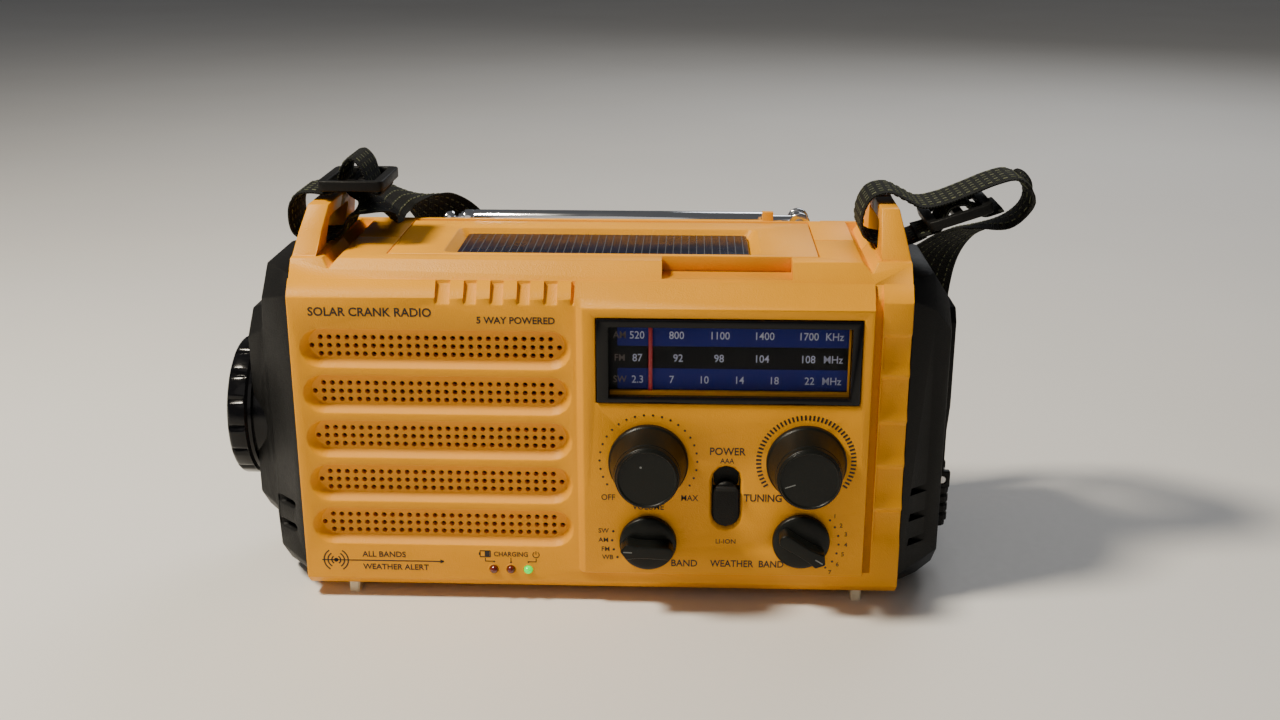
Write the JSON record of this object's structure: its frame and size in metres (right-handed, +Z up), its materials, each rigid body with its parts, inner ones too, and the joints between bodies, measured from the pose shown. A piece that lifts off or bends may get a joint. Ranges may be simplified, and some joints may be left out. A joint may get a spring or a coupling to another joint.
{
  "type": "emergency radio",
  "caption": "Portable emergency radio with speaker grille, tuning dial, knobs, solar lid, end flashlight, hand crank, telescopic antenna and carrying strap.",
  "frame": {"origin": "middle of the object's footprint box, on the surface that it stands on", "axes": "+X to the right seen from the front, +Y towards the back, +Z up; the front face looks towards -Y"},
  "size_m": [0.2524, 0.1176, 0.1352],
  "materials": {
    "case_yellow": "satin warm yellow-orange ABS with fine moulded texture",
    "cap_black": "satin black moulded plastic",
    "knob_black": "satin black, slightly polished faces",
    "gloss_black": "gloss black plastic",
    "clear_pane": "clear moulded acrylic",
    "dial_print": "printed card in dark blue and black bands",
    "pointer_red": "red plastic needle",
    "lamp_red": "tinted red epoxy lens, unlit",
    "lamp_green": "tinted green epoxy lens, lit",
    "solar_cell": "dark blue-black cell under clear resin with fine light lines",
    "foot_cream": "pale cream soft plastic",
    "rubber_black": "matte black rubber",
    "webbing": "black woven nylon webbing with pale dashed stripes",
    "antenna_chrome": "bright chrome-plated tube",
    "steel": "plain steel",
    "board_green": "green circuit board laminate",
    "cone_paper": "black paper cone",
    "white_plastic": "white diffusing plastic",
    "battery_blue": "blue shrink sleeve",
    "nylon": "natural nylon",
    "reflector": "metallised reflector"
  },
  "bodies": {
    "case": {"alert_led": "lamp_red", "antenna_base": "antenna_chrome", "antenna_pin": "steel", "band_switch": "steel", "battery_pack": "battery_blue", "case_screw_1": "steel", "case_screw_2": "steel", "case_screw_3": "steel", "case_screw_4": "steel", "charging_led": "lamp_red", "dial_bezel": "gloss_black", "dial_scale": "dial_print", "dial_window": "clear_pane", "flashlight_bezel": "gloss_black", "flashlight_lens": "clear_pane", "flashlight_reflector": "reflector", "front_foot_left": "foot_cream", "front_foot_right": "foot_cream", "front_shell": "case_yellow", "generator": "steel", "left_end_cap": "cap_black", "lid_hinge_pin": "steel", "main_board": "board_green", "power_led": "lamp_green", "power_switch": "steel", "reading_lamp": "white_plastic", "rear_foot": "rubber_black", "rear_shell": "case_yellow", "right_end_cap": "cap_black", "speaker_cone": "cone_paper", "speaker_frame": "steel", "strap": "webbing", "strap_slider_left": "cap_black", "strap_slider_right": "cap_black", "tuning_capacitor": "clear_pane", "usb_socket": "steel", "volume_control": "steel", "weather_switch": "steel"},
    "volume": {"volume_knob": "knob_black"},
    "tuning": {"tuning_knob": "knob_black", "tuning_drum": "nylon"},
    "pointer": {"dial_pointer": "pointer_red"},
    "band": {"band_knob": "knob_black"},
    "weather": {"weather_knob": "knob_black"},
    "power": {"power_slider": "cap_black"},
    "lid": {"solar_lid": "case_yellow", "solar_panel": "solar_cell"},
    "port_flap": {"port_cover": "rubber_black"},
    "battery_hatch": {"battery_door": "case_yellow"},
    "light_switch": {"light_button": "cap_black"},
    "sos_switch": {"sos_button": "pointer_red"},
    "crank": {"drive_gear": "nylon", "crank_arm": "cap_black"},
    "pinion": {"generator_pinion": "nylon"},
    "grip_hinge": {"grip_stem": "steel"},
    "grip": {"crank_grip": "cap_black"},
    "antenna": {"antenna_tube_1": "antenna_chrome"},
    "antenna_2": {"antenna_tube_2": "antenna_chrome"},
    "antenna_3": {"antenna_tube_3": "antenna_chrome"},
    "antenna_4": {"antenna_rod": "antenna_chrome"}
  },
  "joints": [
    {"name": "volume_turn", "type": "hinge", "parent": "case", "child": "volume", "pos_m": [0.00665, -0.0523, 0.0486], "axis": [0, -1, 0], "range_deg": [-150, 94]},
    {"name": "tuning_turn", "type": "hinge", "parent": "case", "child": "tuning", "pos_m": [0.0539, -0.0523, 0.0489], "axis": [0, -1, 0], "range_deg": [-235, 11]},
    {"name": "pointer_slide", "type": "slide", "parent": "case", "child": "pointer", "axis": [1, 0, 0], "range_m": [-0.0024, 0.0484]},
    {"name": "band_turn", "type": "hinge", "parent": "case", "child": "band", "pos_m": [0.0066, -0.0483, 0.0221], "axis": [0, -1, 0], "range_deg": [-15, 30]},
    {"name": "weather_turn", "type": "hinge", "parent": "case", "child": "weather", "pos_m": [0.05315, -0.0483, 0.0233], "axis": [0, -1, 0], "range_deg": [-15, 74]},
    {"name": "power_slide", "type": "slide", "parent": "case", "child": "power", "axis": [0, 0, 1], "range_m": [0, 0.0048]},
    {"name": "lid_open", "type": "hinge", "parent": "case", "child": "lid", "pos_m": [-0.0082, 0.0167, 0.1055], "axis": [-1, 0, 0], "range_deg": [0, 90]},
    {"name": "port_flap_open", "type": "hinge", "parent": "case", "child": "port_flap", "pos_m": [-0.0922, 0.0297, 0.034], "axis": [0, 0, 1], "range_deg": [0, 110]},
    {"name": "battery_door_off", "type": "slide", "parent": "case", "child": "battery_hatch", "axis": [0, 1, 0], "range_m": [0, 0.035]},
    {"name": "light_press", "type": "slide", "parent": "case", "child": "light_switch", "axis": [0, -1, 0], "range_m": [0, 0.0012], "stiffness_N_per_m": 400, "springref_m": -0.001},
    {"name": "sos_press", "type": "slide", "parent": "case", "child": "sos_switch", "axis": [0, -1, 0], "range_m": [0, 0.0012], "stiffness_N_per_m": 400, "springref_m": -0.001},
    {"name": "crank_turn", "type": "hinge", "parent": "case", "child": "crank", "pos_m": [0.0978, -0.0063, 0.056], "axis": [1, 0, 0], "continuous": true},
    {"name": "pinion_spin", "type": "hinge", "parent": "case", "child": "pinion", "pos_m": [0.0873, -0.0063, 0.08015], "axis": [1, 0, 0], "continuous": true},
    {"name": "grip_unfold", "type": "hinge", "parent": "crank", "child": "grip_hinge", "pos_m": [0.1009, -0.0063, 0.03], "axis": [0, -1, 0], "range_deg": [0, 90]},
    {"name": "grip_spin", "type": "hinge", "parent": "grip_hinge", "child": "grip", "pos_m": [0.1009, -0.0063, 0.02], "axis": [0, 0, -1], "continuous": true},
    {"name": "antenna_raise", "type": "hinge", "parent": "case", "child": "antenna", "pos_m": [0.0543, 0.0252, 0.107], "axis": [0, 1, 0], "range_deg": [0, 90]},
    {"name": "antenna_extend", "type": "slide", "parent": "antenna", "child": "antenna_2", "axis": [-1, 0, 0], "range_m": [0, 0.088]},
    {"name": "antenna_extend_3", "type": "slide", "parent": "antenna_2", "child": "antenna_3", "axis": [-1, 0, 0], "range_m": [0, 0.088]},
    {"name": "antenna_extend_4", "type": "slide", "parent": "antenna_3", "child": "antenna_4", "axis": [-1, 0, 0], "range_m": [0, 0.088]}
  ],
  "couplings": [
    {"joint": "pointer_slide", "follows": "tuning_turn", "m_per_rad": -0.01176},
    {"joint": "pinion_spin", "follows": "crank_turn", "ratio": -3},
    {"joint": "antenna_extend_3", "follows": "antenna_extend", "ratio": 1},
    {"joint": "antenna_extend_4", "follows": "antenna_extend", "ratio": 1}
  ]
}
